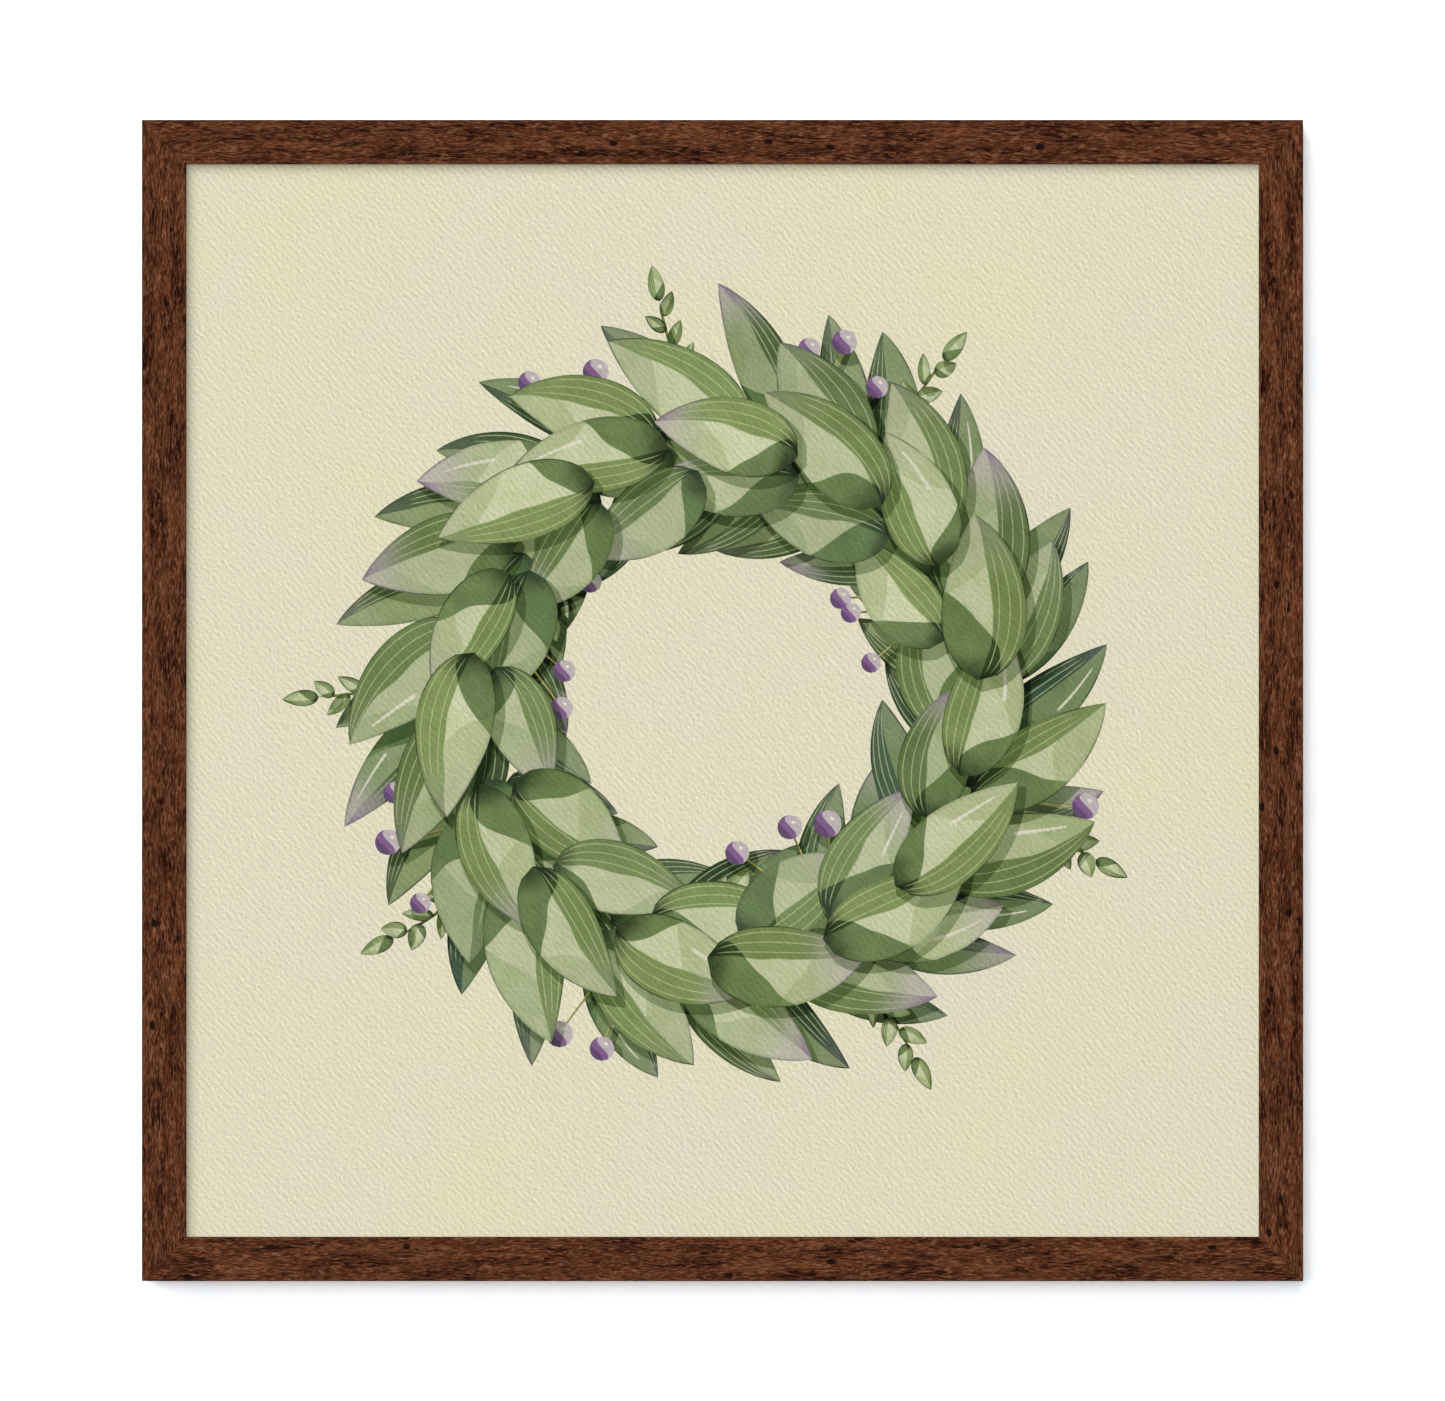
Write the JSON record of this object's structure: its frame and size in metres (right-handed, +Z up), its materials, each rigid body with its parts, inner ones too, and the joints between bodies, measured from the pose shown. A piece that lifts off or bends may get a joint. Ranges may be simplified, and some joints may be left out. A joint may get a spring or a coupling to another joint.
{
  "type": "framed art print",
  "caption": "Square framed art print: mitred wooden rails hold clear glazing, a printed sheet and its boards, and swinging D-rings on the back hang it on a wall.",
  "frame": {"origin": "midway between the two wall hooks that the raised rings hang on, on the plane of the rails' backs", "axes": "+X to the right seen from the front, +Y from the front of the picture towards the wall, +Z up"},
  "size_m": [0.538, 0.0301, 0.538],
  "materials": {
    "walnut_rail": "satin",
    "clear_acrylic": "gloss",
    "printed_paper": "matte",
    "white_board": "matte",
    "hardboard": "matte",
    "spring_steel": "satin",
    "plated_steel": "satin",
    "black_rubber": "matte"
  },
  "bodies": {
    "frame": {"rail_top": "walnut_rail", "rail_left": "walnut_rail", "rail_bottom": "walnut_rail", "rail_right": "walnut_rail", "glazing": "clear_acrylic", "print_sheet": "printed_paper", "mount_board": "white_board", "backing_board": "hardboard", "v_nail_top_right_outer": "spring_steel", "v_nail_top_right_inner": "spring_steel", "v_nail_top_left_outer": "spring_steel", "v_nail_top_left_inner": "spring_steel", "v_nail_bottom_left_outer": "spring_steel", "v_nail_bottom_left_inner": "spring_steel", "v_nail_bottom_right_outer": "spring_steel", "v_nail_bottom_right_inner": "spring_steel", "flex_point_top_1": "spring_steel", "flex_point_top_2": "spring_steel", "flex_point_top_3": "spring_steel", "flex_point_left_1": "spring_steel", "flex_point_left_2": "spring_steel", "flex_point_left_3": "spring_steel", "flex_point_bottom_1": "spring_steel", "flex_point_bottom_2": "spring_steel", "flex_point_bottom_3": "spring_steel", "flex_point_right_1": "spring_steel", "flex_point_right_2": "spring_steel", "flex_point_right_3": "spring_steel", "hanger_strap_left": "plated_steel", "hanger_screw_left": "plated_steel", "bumper_left": "black_rubber", "hanger_strap_right": "plated_steel", "hanger_screw_right": "plated_steel", "bumper_right": "black_rubber"},
    "ring_left": {"hanger_ring_left": "plated_steel"},
    "ring_right": {"hanger_ring_right": "plated_steel"}
  },
  "joints": [
    {"name": "ring_left_swing", "type": "hinge", "parent": "frame", "child": "ring_left", "pos_m": [-0.261, 0.003, -0.01], "axis": [1, 0, 0], "range_deg": [0, 188]},
    {"name": "ring_right_swing", "type": "hinge", "parent": "frame", "child": "ring_right", "pos_m": [0.261, 0.003, -0.01], "axis": [1, 0, 0], "range_deg": [0, 188]}
  ]
}
